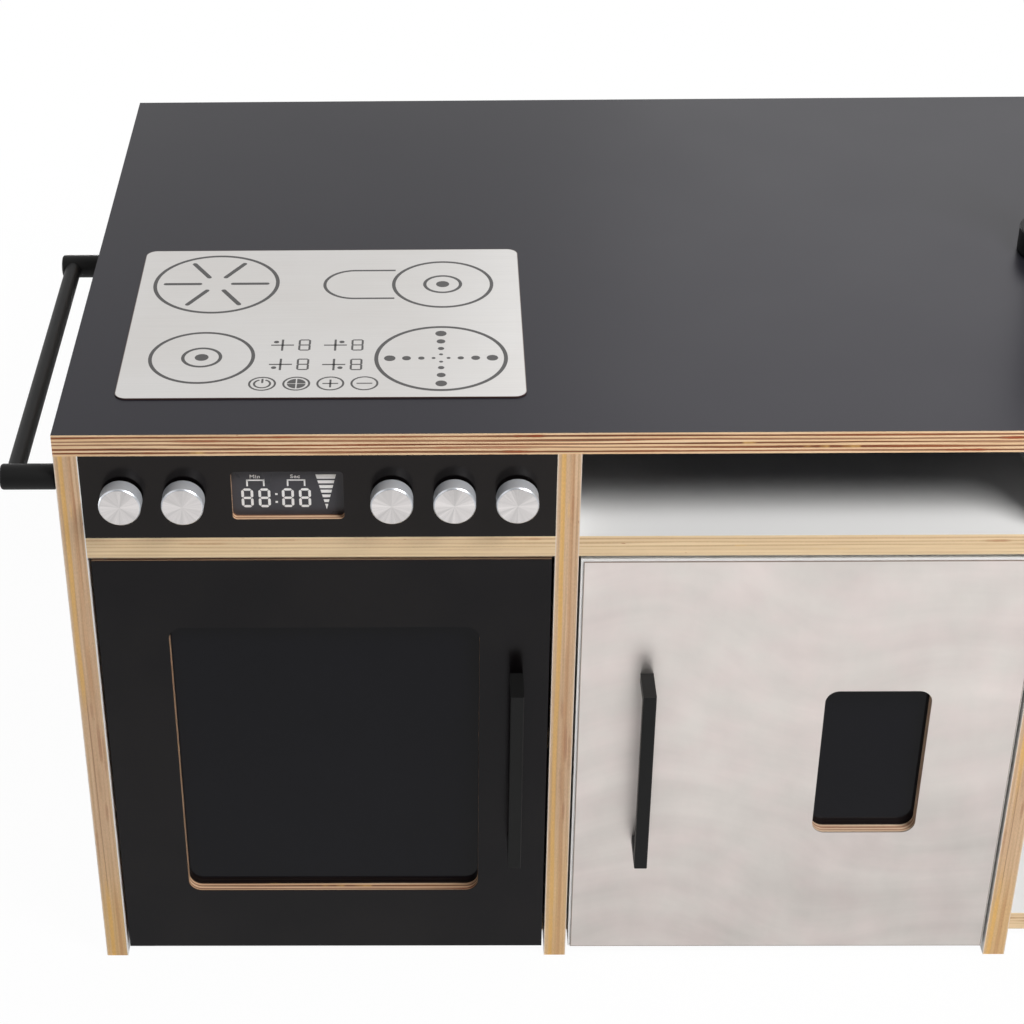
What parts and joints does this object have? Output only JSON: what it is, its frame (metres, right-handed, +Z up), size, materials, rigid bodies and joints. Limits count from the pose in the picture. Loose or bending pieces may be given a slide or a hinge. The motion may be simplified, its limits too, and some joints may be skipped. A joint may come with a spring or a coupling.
{
  "type": "play kitchen",
  "caption": "Low play kitchen of laminated plywood with a hob, a row of turning knobs, an oven door with a window, a steel faced fridge door, an open shelf, a towel rail and a sink with a tap",
  "frame": {"origin": "middle of the footprint at floor level, rail and handles included", "axes": "+X from the oven to the sink, the front with the doors faces -Y, +Z up"},
  "size_m": [1.1384, 0.6292, 0.651],
  "materials": {
    "charcoal_laminate": "matt charcoal laminate on plywood with an open ply edge",
    "white_laminate": "satin white laminate on plywood with open ply front edges",
    "black_laminate": "satin black laminate on plywood",
    "dark_pane": "glossy near-black acrylic",
    "steel_sheet": "warm grey satin stainless sheet",
    "hob_steel": "light satin steel with dark printed rings",
    "knob_aluminium": "turned aluminium with fine rings and a bright chamfer",
    "black_moulding": "matt black moulding",
    "black_metal": "matt black powder coat",
    "zinc_steel": "plain bright zinc plated steel"
  },
  "bodies": {
    "carcass": {"control_panel": "black_laminate", "display_pane": "dark_pane", "divider_left": "white_laminate", "divider_right": "white_laminate", "fridge_back_panel": "white_laminate", "fridge_base_board": "white_laminate", "fridge_hinge_plates": "zinc_steel", "fridge_inner_shelf": "white_laminate", "fridge_magnet_catch": "black_moulding", "fridge_roof_board": "white_laminate", "hob_plate": "hob_steel", "oven_back_panel": "white_laminate", "oven_base_board": "white_laminate", "oven_hinge_plates": "zinc_steel", "oven_inner_shelf": "white_laminate", "oven_magnet_catch": "black_moulding", "oven_roof_board": "white_laminate", "rail_bar": "black_metal", "rail_posts": "black_metal", "side_panel_left": "white_laminate", "side_panel_right": "white_laminate", "sink_back_panel": "white_laminate", "sink_base_board": "white_laminate", "sink_basin": "steel_sheet", "tap_base": "black_metal", "worktop": "charcoal_laminate"},
    "oven_door_body": {"oven_door": "black_laminate", "oven_window": "dark_pane", "oven_handle": "black_metal", "oven_strike_plate": "zinc_steel"},
    "fridge_door_body": {"fridge_door": "white_laminate", "fridge_door_skin": "steel_sheet", "fridge_window": "dark_pane", "fridge_handle": "black_metal", "fridge_strike_plate": "zinc_steel"},
    "spout_body": {"tap_spout": "black_metal"},
    "knob_1_body": {"knob_1_cap": "knob_aluminium", "knob_1_shaft": "black_moulding"},
    "knob_2_body": {"knob_2_cap": "knob_aluminium", "knob_2_shaft": "black_moulding"},
    "knob_3_body": {"knob_3_cap": "knob_aluminium", "knob_3_shaft": "black_moulding"},
    "knob_4_body": {"knob_4_cap": "knob_aluminium", "knob_4_shaft": "black_moulding"},
    "knob_5_body": {"knob_5_cap": "knob_aluminium", "knob_5_shaft": "black_moulding"}
  },
  "joints": [
    {"name": "oven_door_hinge", "type": "hinge", "parent": "carcass", "child": "oven_door_body", "pos_m": [-0.49875, -0.2779, 0.2], "axis": [0, 0, -1], "range_deg": [0, 110]},
    {"name": "fridge_door_hinge", "type": "hinge", "parent": "carcass", "child": "fridge_door_body", "pos_m": [0.17975, -0.2779, 0.2], "axis": [0, 0, 1], "range_deg": [0, 110]},
    {"name": "knob_1_turn", "type": "hinge", "parent": "carcass", "child": "knob_1_body", "pos_m": [-0.48147, -0.2854, 0.4486], "axis": [0, -1, 0], "continuous": true},
    {"name": "knob_2_turn", "type": "hinge", "parent": "carcass", "child": "knob_2_body", "pos_m": [-0.43646, -0.2854, 0.4486], "axis": [0, -1, 0], "continuous": true},
    {"name": "knob_3_turn", "type": "hinge", "parent": "carcass", "child": "knob_3_body", "pos_m": [-0.28665, -0.2854, 0.4486], "axis": [0, -1, 0], "continuous": true},
    {"name": "knob_4_turn", "type": "hinge", "parent": "carcass", "child": "knob_4_body", "pos_m": [-0.24165, -0.2854, 0.4486], "axis": [0, -1, 0], "continuous": true},
    {"name": "knob_5_turn", "type": "hinge", "parent": "carcass", "child": "knob_5_body", "pos_m": [-0.19664, -0.2854, 0.4486], "axis": [0, -1, 0], "continuous": true},
    {"name": "spout_swivel", "type": "hinge", "parent": "carcass", "child": "spout_body", "pos_m": [0.25075, -0.0024, 0.56], "axis": [0, 0, 1], "range_deg": [-60, 60]}
  ]
}
